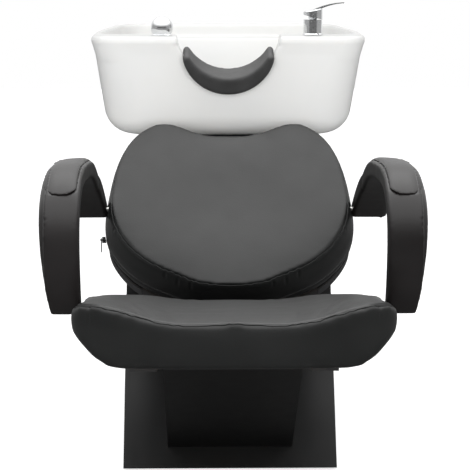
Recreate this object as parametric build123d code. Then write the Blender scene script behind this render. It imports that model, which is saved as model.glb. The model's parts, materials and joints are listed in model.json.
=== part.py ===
from build123d import *
import math
import os

# Shampoo backwash unit: a padded seat on a steel cabinet, with a tilting ceramic basin behind the backrest.
# Millimetres. X runs to the right, Y from the client's knees to the basin, Z up from the floor.

# Overall places
HALF_WIDTH = 295.0            # outer faces of the armrests
BASIN_BACK = 645.0            # rearmost edge of the basin's rim

# Cabinet, folded from 3 mm sheet
SHEET = 3.0
CABINET_HALF = 190.0
CABINET_FRONT = -82.0         # foot of the leaning front panel
CABINET_REAR = 585.0
CABINET_TOP = 520.0
CABINET_LEAN = 0.684          # how far the front leans back for each millimetre of height
SKIRT_GAP = 4.0
FLANGE = 15.0
INNER_HALF = CABINET_HALF - SHEET
TOP_PANEL_LOW = CABINET_TOP - SHEET
SCREW = 2.5                   # radius of the access panel's screws

# Floor plate and its feet
PLATE_LOW = 14.0
PLATE_TOP = 20.0
PLATE_FRONT = -64.0
PLATE_REAR = CABINET_REAR - SHEET
FOOT_X = 150.0
FOOT_ROWS = (-15.0, 550.0)
FOOT_RADIUS = 20.0
FOOT_HEIGHT = 8.0
FOOT_STUD = 5.0
FOOT_CLEARANCE = 24.0         # holes in the side panels' flanges above the feet
ANCHOR_X = 120.0
ANCHOR_ROWS = (80.0, 320.0)
ANCHOR_RADIUS = 6.5
RUNNING_GAP = 0.05            # radial clearance of every turning fit

# Steel frame
PEDESTAL_HALF = 50.0
PEDESTAL_FRONT = 300.0
PEDESTAL_REAR = 375.0
BEAM_HEIGHT = 60.0
BEAM_WALL = 4.0
BEAM_FRONT = -245.0
POST_X = 100.0
POST_Y = 520.0
POST_SIZE = 50.0
POST_TOP = 505.0
CROSS_TOP = 511.0
FRAME_BOLT = 5.0              # radii of the bolts
YOKE_BOLT = 4.0
BOARD_BOLT = 4.0

# Seat, built flat and tipped back
SEAT_TILT = 7.0
SEAT_ORIGIN = (0.0, -630.0, 319.0)
SEAT_BOARD_THICK = 12.0
SEAT_BOARD_HALF = 158.0
BAR_X = 135.0
BAR_WIDTH = 40.0
BAR_THICK = 10.0
BEAM_PLATE_THICK = 8.0

# Backrest, built flat and leant back
BACK_LEAN = 46.0              # degrees from upright
BACK_ORIGIN = (0.0, -111.0, 279.0)
BACK_THICK = 85.0
BACK_BOARD_THICK = 12.0
BACK_COVER_THICK = 30.0
BACK_COVER_WALL = 3.0

# Armrests
ARM_INNER = 233.0
ARM_WIDTH = HALF_WIDTH - ARM_INNER
ARM_THICK = 28.0
ARM_FOOT = 370.0
STRAP = 4.0

# Basin
RIM_TOP = 756.0
RIM_LOW = 744.0
WALL_TOP = 742.0
BASIN_LOW = 566.0
BASIN_HALF = 254.0
BASIN_FRONT = 137.0
FRONT_SLOPE = 0.30            # how far the front wall runs back for each millimetre it goes down
SIDE_SLOPE = 0.12
LIP = 4.0
CERAMIC = 10.0
LEDGE_Z = 729.0
BOWL_FLOOR = 602.0
DRAIN_Y = 400.0
MIXER_X = 157.0
HOLDER_X = -123.0
TAP_Y = 187.0

# Tilting cradle
PIVOT_Y = 520.0
PIVOT_Z = 540.0
AXLE_RADIUS = 8.0
BUSH_RADIUS = 11.0
CRADLE_LOW = 558.0
CRADLE_TOP = 562.0

os.makedirs("parts", exist_ok=True)


# ---- helpers -------------------------------------------------------------------------------------

def block(x, y, z):
    """Box between the (low, high) pairs of its three sides."""
    middle = [(low + high) / 2 for low, high in (x, y, z)]
    size = [high - low for low, high in (x, y, z)]
    return Pos(*middle) * Box(*size)


def rod(radius, start, end):
    """Round bar from START to END."""
    start = Vector(*start)
    axis = Vector(*end) - start
    bar = Cylinder(radius, axis.length, align=(Align.CENTER, Align.CENTER, Align.MIN))
    return Plane(start, z_dir=axis) * bar


def side_plate(points, x_low, x_high):
    """Solid with the side outline POINTS, given as (y, z) pairs."""
    return extrude(Plane.YZ.offset(x_low) * make_face(Polyline(*points, close=True)), x_high - x_low)


def turned(profile, centre=(0.0, 0.0)):
    """Solid of revolution about a vertical axis; PROFILE holds (radius, z) pairs."""
    face = make_face(Polyline(*profile, close=True))
    return Pos(centre[0], centre[1], 0) * revolve(Plane.XZ * face, Axis.Z)


def hexagon(radius, start, thickness, axis=(0, 0, 1)):
    """Hexagonal nut blank or bolt head, RADIUS across its corners."""
    return Plane(start, z_dir=axis) * extrude(RegularPolygon(radius, 6), thickness)


def hose(points, radius, bend):
    """Flexible pipe through POINTS with its corners bent to BEND."""
    path = FilletPolyline(*points, radius=bend)
    section = Plane(path @ 0, z_dir=path % 0) * Circle(radius)
    return sweep(section, path)


def mirrored(shape):
    return mirror(shape, Plane.YZ)


def both_sides(shape):
    """SHAPE and its mirror image as one group of solids."""
    return Compound(children=[*solids_of(shape), *solids_of(mirrored(shape))])


def solids_of(shape):
    return list(shape.solids())


def group(*shapes):
    """Separate solids kept together as one piece kind."""
    return Compound(children=[solid for shape in shapes for solid in solids_of(shape)])


def save(shape, node):
    export_step(shape, f"parts/{node}.step")


# ---- shared lines and planes -----------------------------------------------------------------------

def front_panel_y(z):
    return CABINET_FRONT + CABINET_LEAN * z


def seat_plane():
    """Plane of the seat board's underside: local Y runs back along the seat, local Z up through it."""
    tilt = math.radians(SEAT_TILT)
    return Plane(SEAT_ORIGIN, x_dir=(1, 0, 0), z_dir=(0, math.sin(tilt), math.cos(tilt)))


def back_plane():
    """Plane of the backrest board's front: local Y runs up the backrest, local Z toward the client."""
    lean = math.radians(BACK_LEAN)
    return Plane(BACK_ORIGIN, x_dir=(1, 0, 0), z_dir=(0, -math.cos(lean), math.sin(lean)))


def front_wall_plane():
    """Plane of the basin's front wall: local Y runs up the wall, local Z toward the client."""
    origin = (0, BASIN_FRONT + LIP, WALL_TOP)
    return Plane(origin, x_dir=(1, 0, 0), z_dir=(0, -1, -FRONT_SLOPE))


def under_seat(y, below):
    """Height of a line BELOW millimetres under the seat board, at Y."""
    slope = math.tan(math.radians(SEAT_TILT))
    return SEAT_ORIGIN[2] - slope * (y - SEAT_ORIGIN[1]) - below / math.cos(math.radians(SEAT_TILT))


# ---- floor plate, cabinet and frame ----------------------------------------------------------------

def foot_places():
    return [(side * FOOT_X, row) for side in (-1, 1) for row in FOOT_ROWS]


def anchor_places():
    return [(side * ANCHOR_X, row) for side in (-1, 1) for row in ANCHOR_ROWS]


SUPPLY_OPENING = ((-32.0, 72.0), (450.0, 510.0))
WASTE_OUTLET = (-45.0, 530.0)
WASTE_PIPE = 20.0


def floor_plate():
    plate = block((-INNER_HALF, INNER_HALF), (PLATE_FRONT, PLATE_REAR), (PLATE_LOW, PLATE_TOP))
    for x, y in foot_places():
        plate -= rod(FOOT_STUD + RUNNING_GAP, (x, y, 0), (x, y, PLATE_TOP + 1))
    for x, y in anchor_places():
        plate -= rod(ANCHOR_RADIUS, (x, y, 0), (x, y, PLATE_TOP + 1))
    plate -= block(*SUPPLY_OPENING, (0, PLATE_TOP + 1))
    plate -= rod(WASTE_PIPE, (*WASTE_OUTLET, 0), (*WASTE_OUTLET, PLATE_TOP + 1))
    return plate


def beam_outline(inset, rear):
    """Side outline of the cantilever beam, INSET from its outer faces."""
    top = BAR_THICK + BEAM_PLATE_THICK + inset
    low = BAR_THICK + BEAM_PLATE_THICK + BEAM_HEIGHT - inset
    return [
        (BEAM_FRONT, under_seat(BEAM_FRONT, low)),
        (rear, under_seat(rear, low)),
        (rear, under_seat(rear, top)),
        (BEAM_FRONT, under_seat(BEAM_FRONT, top)),
    ]


def cantilever():
    """Pedestal and beam, hollow throughout, with the open front end under the seat."""
    half = PEDESTAL_HALF
    head = under_seat(PEDESTAL_REAR, BAR_THICK + BEAM_PLATE_THICK + BEAM_HEIGHT / 2)
    shell = side_plate(beam_outline(0, PEDESTAL_REAR), -half, half)
    shell += block((-half, half), (PEDESTAL_FRONT, PEDESTAL_REAR), (PLATE_TOP, head))
    inner = half - BEAM_WALL
    hollow = side_plate(beam_outline(BEAM_WALL, PEDESTAL_REAR - BEAM_WALL), -inner, inner)
    hollow += block(
        (-inner, inner),
        (PEDESTAL_FRONT + BEAM_WALL, PEDESTAL_REAR - BEAM_WALL),
        (PLATE_TOP, head),
    )
    return shell - hollow


def gusset():
    low = BAR_THICK + BEAM_PLATE_THICK + BEAM_HEIGHT - 1
    foot, tip = 190.0, 140.0
    outline = [
        (foot, PLATE_TOP),
        (PEDESTAL_FRONT + 1, PLATE_TOP),
        (PEDESTAL_FRONT + 1, under_seat(PEDESTAL_FRONT + 1, low)),
        (tip, under_seat(tip, low)),
        (tip, under_seat(tip, low + 10)),
    ]
    return side_plate(outline, -SHEET, SHEET)


BEAM_PLATE_REACH = (390.0, 484.0)      # along the seat plane
BEAM_BOLT_ROWS = (410.0, 464.0)


def beam_plate():
    """Plate on the beam's nose that carries the two bars of the seat."""
    half = BAR_X + BAR_WIDTH / 2
    plate = block((-half, half), BEAM_PLATE_REACH, (-BAR_THICK - BEAM_PLATE_THICK, -BAR_THICK))
    return seat_plane() * plate


def frame_bolt_places():
    return [(side * BAR_X, row) for side in (-1, 1) for row in BEAM_BOLT_ROWS]


def base_frame():
    posts = Part()
    half, wall = POST_SIZE / 2, SHEET
    for side in (-1, 1):
        x = side * POST_X
        post = block((x - half, x + half), (POST_Y - half, POST_Y + half), (PLATE_TOP, POST_TOP))
        post -= block(
            (x - half + wall, x + half - wall),
            (POST_Y - half + wall, POST_Y + half - wall),
            (PLATE_TOP, POST_TOP),
        )
        posts += post
    cross = block((-130, 130), (POST_Y - 30, POST_Y + 30), (POST_TOP, CROSS_TOP))
    for x, y in yoke_bolt_places():
        cross -= rod(YOKE_BOLT, (x, y, POST_TOP - 1), (x, y, CROSS_TOP + 1))
    frame = floor_plate() + posts + cross + cantilever() + gusset() + beam_plate()
    for x, v in frame_bolt_places():
        hole = rod(FRAME_BOLT, (x, v, -40), (x, v, 10))
        frame -= seat_plane() * hole
    return frame



def side_panel():
    """Right side of the cabinet with its rear and bottom return flanges."""
    outline = [
        (front_panel_y(SKIRT_GAP), SKIRT_GAP),
        (CABINET_REAR, SKIRT_GAP),
        (CABINET_REAR, CABINET_TOP),
        (front_panel_y(CABINET_TOP), CABINET_TOP),
    ]
    panel = side_plate(outline, INNER_HALF, CABINET_HALF)
    rear = CABINET_REAR - SHEET
    across = (INNER_HALF - FLANGE, INNER_HALF)
    panel += block(across, (rear - SHEET, rear), (PLATE_TOP, TOP_PANEL_LOW))
    panel += block(across, (PLATE_FRONT + 6, rear), (PLATE_TOP, PLATE_TOP + SHEET))
    for x, z in access_screw_places():
        if x > 0:
            panel -= rod(SCREW, (x, rear - 10, z), (x, rear + 1, z))
    for row in FOOT_ROWS:
        panel -= rod(FOOT_CLEARANCE, (FOOT_X, row, PLATE_TOP - 1), (FOOT_X, row, PLATE_TOP + 10))
    return panel



def access_screw_places():
    column = INNER_HALF - FLANGE / 2
    return [(side * column, z) for side in (-1, 1) for z in (50.0, 190.0, 340.0, 480.0)]


def front_panel():
    """Leaning front sheet with the opening the beam comes through."""
    run = SHEET * math.hypot(1, CABINET_LEAN)
    outline = [
        (front_panel_y(SKIRT_GAP), SKIRT_GAP),
        (front_panel_y(TOP_PANEL_LOW), TOP_PANEL_LOW),
        (front_panel_y(TOP_PANEL_LOW) + run, TOP_PANEL_LOW),
        (front_panel_y(SKIRT_GAP) + run, SKIRT_GAP),
    ]
    panel = side_plate(outline, -INNER_HALF, INNER_HALF)
    half = PEDESTAL_HALF + 2
    panel -= block((-half, half), (-40, 200), (140, 240))
    return panel


TOP_OPENING_HALF = 145.0
TOP_OPENING = (322.0, 568.0)


def top_panel():
    outline = [
        (front_panel_y(TOP_PANEL_LOW), TOP_PANEL_LOW),
        (PLATE_REAR, TOP_PANEL_LOW),
        (PLATE_REAR, CABINET_TOP),
        (front_panel_y(CABINET_TOP), CABINET_TOP),
    ]
    panel = side_plate(outline, -INNER_HALF, INNER_HALF)
    middle = sum(TOP_OPENING) / 2
    opening = RectangleRounded(2 * TOP_OPENING_HALF, TOP_OPENING[1] - TOP_OPENING[0], 20)
    return panel - Pos(0, middle, TOP_PANEL_LOW - 1) * extrude(opening, SHEET + 2)


def rear_access_panel():
    """Removable rear sheet with a row of vent slots."""
    low, high = PLATE_TOP + 4, TOP_PANEL_LOW - 1
    panel = block((-INNER_HALF + 0.5, INNER_HALF - 0.5), (PLATE_REAR, CABINET_REAR), (low, high))
    for x, z in access_screw_places():
        panel -= rod(SCREW, (x, PLATE_REAR - 1, z), (x, CABINET_REAR + 1, z))
    slot_length, slot_height = 90.0, 6.0
    slot = Plane.XZ * SlotOverall(slot_length, slot_height)
    for count in range(5):
        place = Pos(0, CABINET_REAR + 1, 400 + 16 * count)
        panel -= place * extrude(slot, SHEET + 2, dir=(0, -1, 0))
    return panel


def access_panel_screws():
    screws = []
    for x, z in access_screw_places():
        screw = rod(SCREW, (x, PLATE_REAR - 8, z), (x, CABINET_REAR, z))
        screw += rod(5, (x, CABINET_REAR, z), (x, CABINET_REAR + 2.5, z))
        screws.append(screw)
    return group(*screws)


def levelling_foot(x, y):
    """Round pad with a threaded stud standing on it."""
    foot = turned(
        [
            (0, 0),
            (FOOT_RADIUS - 2, 0),
            (FOOT_RADIUS, 2),
            (FOOT_RADIUS, 5),
            (FOOT_RADIUS - 6, FOOT_HEIGHT),
            (FOOT_STUD, FOOT_HEIGHT),
            (FOOT_STUD, 42),
            (0, 42),
        ],
        (x, y),
    )
    return foot


def foot_lock_nuts():
    nuts = []
    for x, y in foot_places():
        nut = hexagon(9.5, (x, y, PLATE_TOP), 6)
        nut -= rod(FOOT_STUD + RUNNING_GAP, (x, y, PLATE_TOP - 1), (x, y, PLATE_TOP + 7))
        nuts.append(nut)
    return group(*nuts)


COVER_HALF = 111.0
COVER_SHEET = 2.5
COVER_SIDE_DROP = 19.0        # under the seat board, where the sides pass below the beam's plate
COVER_LID_DROP = 12.0         # under the seat board's line, where the lid closes over the beam
COVER_STEP = -146.0           # just behind the beam's plate
COVER_FOOT_Z = 37.0
COVER_NOSE = -397.0


def seat_column_cover():
    """Forward-leaning wedge of sheet around the beam, open on top under the seat and lidded behind it."""
    foot_y = front_panel_y(COVER_FOOT_Z)
    slope = math.tan(math.radians(SEAT_TILT))
    lid_at_zero = under_seat(0, COVER_LID_DROP)
    head_z = (lid_at_zero - slope * CABINET_FRONT) / (1 + slope * CABINET_LEAN)
    head_y = front_panel_y(head_z)
    outer = side_plate(
        [
            (foot_y, COVER_FOOT_Z),
            (COVER_NOSE, under_seat(COVER_NOSE, COVER_SIDE_DROP)),
            (COVER_STEP, under_seat(COVER_STEP, COVER_SIDE_DROP)),
            (COVER_STEP, under_seat(COVER_STEP, COVER_LID_DROP)),
            (head_y, head_z),
        ],
        -COVER_HALF,
        COVER_HALF,
    )
    thick = COVER_SHEET * 1.2             # the leaning front sheet, measured straight up
    set_back = 3 * thick                  # the same sheet, measured along the seat
    lid_under = COVER_LID_DROP + COVER_SHEET
    inner = side_plate(
        [
            (foot_y + 1, COVER_FOOT_Z + thick),
            (COVER_NOSE + set_back, under_seat(COVER_NOSE, COVER_SIDE_DROP + thick)),
            (COVER_NOSE + set_back, under_seat(COVER_NOSE, 0)),
            (COVER_STEP, under_seat(COVER_STEP, 0)),
            (COVER_STEP, under_seat(COVER_STEP, lid_under)),
            (head_y + 1, under_seat(head_y, lid_under)),
        ],
        -COVER_HALF + COVER_SHEET,
        COVER_HALF - COVER_SHEET,
    )
    return outer - inner


# ---- seat and backrest carrier ---------------------------------------------------------------------

BAR_SEAT_START = 60.0
BAR_BACK_END = 250.0
SEAT_BOARD_ROWS = (143.0, 300.0)       # the front pair also holds the armrest brackets
BACK_BOARD_ROWS = (100.0, 193.0)       # the upper pair also holds the armrest straps


def bar_path(offset):
    """Side line of a bent bar: along under the seat board, then up behind the backrest board."""
    seat, back = seat_plane(), back_plane()
    start = seat.from_local_coords((0, BAR_SEAT_START, -offset))
    end = back.from_local_coords((0, BAR_BACK_END, -BACK_BOARD_THICK - offset))
    along = seat.y_dir
    up = back.y_dir
    # meeting point of the two straight stretches
    gap = end - start
    det = along.Y * up.Z - along.Z * up.Y
    reach = (gap.Y * up.Z - gap.Z * up.Y) / det
    corner = start + along * reach
    return [(point.Y, point.Z) for point in (start, corner, end)]


def seat_back_bar():
    """One bent flat bar, on the right."""
    middle = bar_path(BAR_THICK / 2)
    line = Plane.YZ * FilletPolyline(*middle, radius=45)
    line = Pos(BAR_X, 0, 0) * line
    section = Plane(line @ 0, x_dir=(1, 0, 0), z_dir=line % 0) * Rectangle(BAR_WIDTH, BAR_THICK)
    bar = sweep(section, line)
    for row in BEAM_BOLT_ROWS:
        bar -= seat_plane() * rod(FRAME_BOLT, (BAR_X, row, -30), (BAR_X, row, 5))
    for row in SEAT_BOARD_ROWS:
        bar -= seat_plane() * rod(BOARD_BOLT, (BAR_X, row, -30), (BAR_X, row, 5))
    for row in BACK_BOARD_ROWS:
        bar -= back_plane() * rod(BOARD_BOLT, (BAR_X, row, -40), (BAR_X, row, -5))
    return bar


def through_bolts(plane, places, radius, low, high, head):
    """Bolts standing on local Z of PLANE, each with a hexagonal head below LOW."""
    bolts = []
    for x, v in places:
        bolt = rod(radius, (x, v, low), (x, v, high))
        bolt += hexagon(2 * radius, (x, v, low - head), head)
        bolts.append(plane * bolt)
    return group(*bolts)


def seat_frame_bolts():
    low = -BAR_THICK - BEAM_PLATE_THICK
    return through_bolts(seat_plane(), frame_bolt_places(), FRAME_BOLT, low, 0, 7)


def seat_board():
    board = Pos(0, 205, SEAT_BOARD_THICK / 2) * Box(2 * SEAT_BOARD_HALF, 360, SEAT_BOARD_THICK)
    board = fillet(board.edges().filter_by(Axis.Z), 40)
    for side in (-1, 1):
        for row in SEAT_BOARD_ROWS:
            x = side * BAR_X
            board -= rod(BOARD_BOLT, (x, row, -1), (x, row, SEAT_BOARD_THICK + 1))
    return seat_plane() * board


def seat_board_bolts():
    places = [(side * BAR_X, row) for side in (-1, 1) for row in SEAT_BOARD_ROWS]
    return through_bolts(seat_plane(), places, BOARD_BOLT, -BAR_THICK, SEAT_BOARD_THICK + STRAP, 5)


def seat_plan():
    """Outline of the seat from above, in the seat plane."""
    half = Spline(
        (0, -15.113),
        (150, -5),
        (212, 18),
        (244, 64),
        (231, 112),
        (231.5, 165),
        (227, 260),
        (214, 380),
        (190, 414),
        (0, 418),
        tangents=[(1, 0), (-1, 0)],
    )
    return make_face(half + mirror(half, Plane.YZ))


def seat_section():
    """Outline of the seat across its width: flat under the board, raised at both side bolsters."""
    half = Spline(
        (0, 70),
        (110, 73),
        (205, 94),
        (240, 84),
        (246, 62),
        (226, 32),
        (186, 3),
        tangents=[(1, 0), (-1, -0.35)],
    )
    foot = Line((186, 3), (165, 0))
    base = Line((165, 0), (-165, 0))
    return make_face(Curve() + [half, foot, base, mirror(foot, Plane.YZ), mirror(half, Plane.YZ)])


def seat_cushion():
    """Seat with side bolsters that sink toward the back."""
    plan = extrude(Pos(0, 0, -5) * seat_plan(), 120)
    body = Pos(0, 450, 0) * extrude(Plane.XZ * seat_section(), 500, dir=(0, -1, 0))
    top_line = [(-40, -5), (-40, 97), (150, 95), (430, 75.5), (430, -5)]
    cushion = plan & body & side_plate(top_line, -300, 300)
    return (seat_plane() * cushion) - seat_board() - seat_board_bolts()


BACK_HALF = 221.0
BACK_MIDDLE = 197.0
BACK_REACH = 178.0            # from the middle of the backrest to its top or bottom
BORDER = 45.0                 # thickness of the straight part of the backrest's side
FACE_BEVEL = 4.0


def backrest_shape(inset, points):
    """Face drawn in by INSET, whose right half runs from the top of the middle line to its bottom."""
    across, along = 1 - inset / BACK_HALF, 1 - inset / BACK_REACH
    drawn = [(x * across, BACK_MIDDLE + (v - BACK_MIDDLE) * along) for x, v in points]
    half = Spline(*drawn, tangents=[(1, 0), (-1, 0)])
    return make_face(half + mirror(half, Plane.YZ))


def backrest_outline(inset=0.0):
    """Outline of the backrest in its own plane, with two shoulders and a dip for the neck between."""
    points = [
        (0, 346),
        (60, 356),
        (122, 375),
        (172, 348),
        (205, 288),
        (220, 215),
        (219, 155),
        (194, 105),
        (155, 66),
        (105, 39),
        (0, 20),
    ]
    return backrest_shape(inset, points)


def backrest_face_outline(inset=0.0):
    """Outline of the padded front panel, which is drawn in toward the bottom corners."""
    points = [
        (0, 351),
        (60, 361),
        (122, 382),
        (170, 352),
        (198, 295),
        (211, 220),
        (209, 165),
        (182, 105),
        (127, 56),
        (76, 31),
        (0, 16),
    ]
    return backrest_shape(inset, points)


def backrest_cushion():
    edge = BACK_THICK - FACE_BEVEL
    cushion = extrude(backrest_outline(), BORDER)
    cushion += lofted(backrest_outline(), BORDER, backrest_face_outline(), edge)
    cushion += lofted(backrest_face_outline(), edge, backrest_face_outline(FACE_BEVEL), BACK_THICK)
    return (back_plane() * cushion) - board_bolts_back()


def backrest_board():
    board = Pos(0, 0, -BACK_BOARD_THICK) * extrude(backrest_outline(14), BACK_BOARD_THICK)
    for side in (-1, 1):
        for row in BACK_BOARD_ROWS:
            x = side * BAR_X
            board -= rod(BOARD_BOLT, (x, row, -20), (x, row, 1))
    return back_plane() * board


def board_bolts_back():
    places = [(side * BAR_X, row) for side in (-1, 1) for row in BACK_BOARD_ROWS]
    low = -BACK_BOARD_THICK - BAR_THICK
    return through_bolts(back_plane(), places, BOARD_BOLT, low, STRAP, 4)


def backrest_rear_cover():
    """Moulded shell over the back of the board, notched for the two bars."""
    depth = BACK_COVER_THICK - BACK_BOARD_THICK
    outer = Pos(0, 0, -BACK_COVER_THICK) * extrude(backrest_outline(5), depth)
    hollow = extrude(backrest_outline(5 + BACK_COVER_WALL), depth)
    inner = Pos(0, 0, -BACK_COVER_THICK + BACK_COVER_WALL) * hollow
    cover = outer - inner
    margin = 1.0
    for side in (-1, 1):
        x = side * BAR_X
        half = BAR_WIDTH / 2 + margin
        cover -= block((x - half, x + half), (-60, 90), (-BACK_COVER_THICK - 1, -BACK_BOARD_THICK))
    return back_plane() * cover


# ---- armrests --------------------------------------------------------------------------------------

ARM_TOE_IN = 1.22             # degrees the armrest turns in toward the backrest
ARM_FRONT = -509.0
FRONT_BOLT = (-478.0, 381.0)           # (y, z) through the foot of the front post
REAR_BOLT = (193.0, 66.0)              # up the backrest, and toward the client
ARM_BOLT = 4.0
ARM_BOLT_REACH = 12.0                  # how far the bolts go into the armrest
ARM_HEAD = 6.5
ARM_HEAD_THICK = 2.0
FRONT_WING = 205.0                     # inner faces of the two upright metal wings
REAR_WING = 201.0


def arm_line():
    """Side line of the armrest band, from the foot of the front post over the top to the rear end."""
    points = [
        (-464, 350),
        (-494, 450),
        (-482, 525),
        (-430, 562),
        (-340, 569),
        (-200, 554),
        (-100, 514),
        (-5, 455),
    ]
    return Plane.YZ * Spline(*points)


def arm_section():
    """Section of the band: flat on the inner side, crowned on top and well rounded outside."""
    half, deep = ARM_WIDTH / 2, ARM_THICK / 2
    under = Line((-half + 4, deep), (half - 11, deep))
    outside = Spline(
        (half - 11, deep),
        (half, 3),
        (half - 10, -10),
        (-4, -deep - 1),
        tangents=[(1, 0), (-1, 0)],
    )
    top = ThreePointArc((-4, -deep - 1), (-15, -deep - 0.6), (-half + 6, -deep + 0.5))
    brow = ThreePointArc((-half + 6, -deep + 0.5), (-half + 1.6, -deep + 2.6), (-half, -deep + 7))
    inside = Line((-half, -deep + 7), (-half, deep - 4))
    heel = ThreePointArc((-half, deep - 4), (-half + 1.2, deep - 1.2), (-half + 4, deep))
    return make_face(Curve() + [under, outside, top, brow, inside, heel])


def swept(section, line):
    """SECTION drawn along a stretch of the armrest's line, in the middle of the band."""
    line = Pos(ARM_INNER + ARM_WIDTH / 2, 0, 0) * line
    frame = Plane(line @ 0, x_dir=(1, 0, 0), z_dir=line % 0)
    return sweep(frame * section, line)


def toed_in(shape):
    """SHAPE turned about the upright line at the front of the right armrest."""
    pivot = Pos(ARM_INNER, ARM_FRONT, 0)
    return pivot * Rot(0, 0, ARM_TOE_IN) * Pos(-ARM_INNER, -ARM_FRONT, 0) * shape


def arm_band():
    """Right armrest before its pocket for the pad is cut."""
    band = swept(arm_section(), arm_line())
    band -= block((ARM_INNER - 10, HALF_WIDTH + 10), (-540, -400), (300, ARM_FOOT))
    # the front post narrows toward its foot on the outer side
    edge = ThreePointArc((HALF_WIDTH, 525), (290.5, 450), (278, ARM_FOOT))
    rest = Polyline((278, ARM_FOOT), (278, 340), (320, 340), (320, 525), (HALF_WIDTH, 525))
    narrow = Plane.XZ * make_face(edge + rest)
    return toed_in(band - Pos(0, -400, 0) * extrude(narrow, 140, dir=(0, -1, 0)))


PAD_FRONT, PAD_REAR = 0.26, 0.74       # stretch of the arm line the pad covers
LIP_MIDDLE, LIP_END = 552.0, 562.0     # heights of the pad's curved front lip


def pad_section():
    """Skin that stands a little proud of the band's crown and is let into it."""
    raised = Spline((-27, -13), (-22, -16.4), (-4, -17.5), (18, -14), (28.5, -5))
    sunk = Spline((25.5, -4), (18, -9.5), (-4, -13), (-22, -11.8))
    return make_face(Curve() + [raised, Line((28.5, -5), (25.5, -4)), sunk, Line((-22, -11.8), (-27, -13))])


def arm_pad():
    """Raised soft skin over the top of the right armrest, ending in front in a curved lip."""
    pad = swept(pad_section(), arm_line().edge().trim(PAD_FRONT, PAD_REAR))
    middle = ARM_INNER + ARM_WIDTH / 2
    inboard, outboard = middle - 35, middle + 35
    lip = ThreePointArc((inboard, LIP_END + 5), (middle, LIP_MIDDLE), (outboard, LIP_END + 5))
    below = Polyline((outboard, LIP_END + 5), (outboard, 480), (inboard, 480), (inboard, LIP_END + 5))
    under_lip = Plane.XZ * make_face(lip + below)
    return toed_in(pad - Pos(0, -440, 0) * extrude(under_lip, 100, dir=(0, -1, 0)))


def front_bracket():
    """Bent strap on top of the seat board that rises inside the right bolster."""
    reach = (SEAT_BOARD_ROWS[0] - 17, SEAT_BOARD_ROWS[0] + 17)
    low = SEAT_BOARD_THICK + STRAP / 2
    wing = FRONT_WING + STRAP / 2
    line = FilletPolyline((112, low), (162, low), (wing, 38), (wing, 88), radius=9)
    ribbon = Plane.XZ * trace(line, STRAP)
    strap = Pos(0, reach[1], 0) * extrude(ribbon, reach[1] - reach[0], dir=(0, -1, 0))
    return seat_plane() * strap


def rear_strap():
    """Angle on the front of the backrest board that stands up inside the right side of the cushion."""
    reach = (BACK_BOARD_ROWS[1] - 20, BACK_BOARD_ROWS[1] + 20)
    tab = block((112, REAR_WING + STRAP), reach, (0, STRAP))
    wing = block((REAR_WING, REAR_WING + STRAP), reach, (0, 78))
    return back_plane() * (tab + wing)


def arm_bolt(start, y, z):
    """Bolt with its head inside the upholstery, reaching out from START into the armrest."""
    bolt = rod(ARM_BOLT, (start, y, z), (ARM_INNER + ARM_BOLT_REACH, y, z))
    return bolt + rod(ARM_HEAD, (start - ARM_HEAD_THICK, y, z), (start, y, z))


def arm_bolts_right():
    rear = back_plane().from_local_coords((0, *REAR_BOLT))
    return group(arm_bolt(FRONT_WING, *FRONT_BOLT), arm_bolt(REAR_WING, rear.Y, rear.Z))


# ---- basin -----------------------------------------------------------------------------------------

def basin_outline(inset_side, inset_front, inset_back, corner=0.0):
    """Plan of the basin, drawn in by the three insets; CORNER widens every corner radius."""
    front = BASIN_FRONT + inset_front
    back = BASIN_BACK - inset_back
    half = BASIN_HALF - inset_side
    waist, waist_y = half + 1.0, 330.0
    tail = half - 30.0
    points = [
        (-half, front),
        (half, front),
        (waist, waist_y),
        (tail, back),
        (-tail, back),
        (-waist, waist_y),
    ]
    radii = [50 + corner, 50 + corner, 200, 100, 100, 200]
    return make_face(FilletPolyline(*points, radius=radii, close=True))


def lofted(low_face, low_z, high_face, high_z):
    return loft([Pos(0, 0, low_z) * low_face, Pos(0, 0, high_z) * high_face])


def rounded_below(solid, radius):
    """SOLID with the edges of its lowest face rounded."""
    lowest = solid.faces().sort_by(Axis.Z)[0]
    return fillet(lowest.edges(), radius)


def basin_body(wall, low, high, radius):
    """Tapering tub of the basin's outside, drawn in by WALL."""
    drop = WALL_TOP - low
    top_drop = WALL_TOP - high
    bottom = basin_outline(
        LIP + wall + SIDE_SLOPE * drop, LIP + wall + FRONT_SLOPE * drop, LIP + wall + SIDE_SLOPE * drop, 50
    )
    top = basin_outline(
        LIP + wall + SIDE_SLOPE * top_drop,
        LIP + wall + FRONT_SLOPE * top_drop,
        LIP + wall + SIDE_SLOPE * top_drop,
        5,
    )
    return rounded_below(lofted(bottom, low, top, high), radius)


def bowl(thick, floor):
    """Bowl the hair is washed in, grown outward by THICK."""
    def plan(half, front, back, corner):
        width, depth = 2 * (half + thick), back - front + 2 * thick
        return Pos(0, (front + back) / 2) * RectangleRounded(width, depth, corner + thick)
    low = plan(128, 298, 522, 60)
    high = plan(214, 231, 590, 78)
    return rounded_below(lofted(low, floor, high, LEDGE_Z + 1), 52 + thick)


NOTCH_RADIUS = 95.6
NOTCH_CENTRE = 26.0           # up the front wall from the top of the straight wall
THROAT_RADIUS = 96.0
THROAT_CENTRE = -1.0


def throat(grow, near, far):
    """Passage from the neck notch into the bowl, square to the front wall."""
    radius = THROAT_RADIUS + grow
    shape = Pos(0, THROAT_CENTRE) * Circle(radius)
    shape += Pos(0, THROAT_CENTRE + 50) * Rectangle(2 * radius, 100)
    return front_wall_plane() * (Pos(0, 0, -far) * extrude(shape, far - near))


def notch():
    shape = Pos(0, NOTCH_CENTRE) * Circle(NOTCH_RADIUS)
    shape += Pos(0, NOTCH_CENTRE + 50) * Rectangle(2 * NOTCH_RADIUS, 100)
    return front_wall_plane() * (Pos(0, 0, -60) * extrude(shape, 90))


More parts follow.
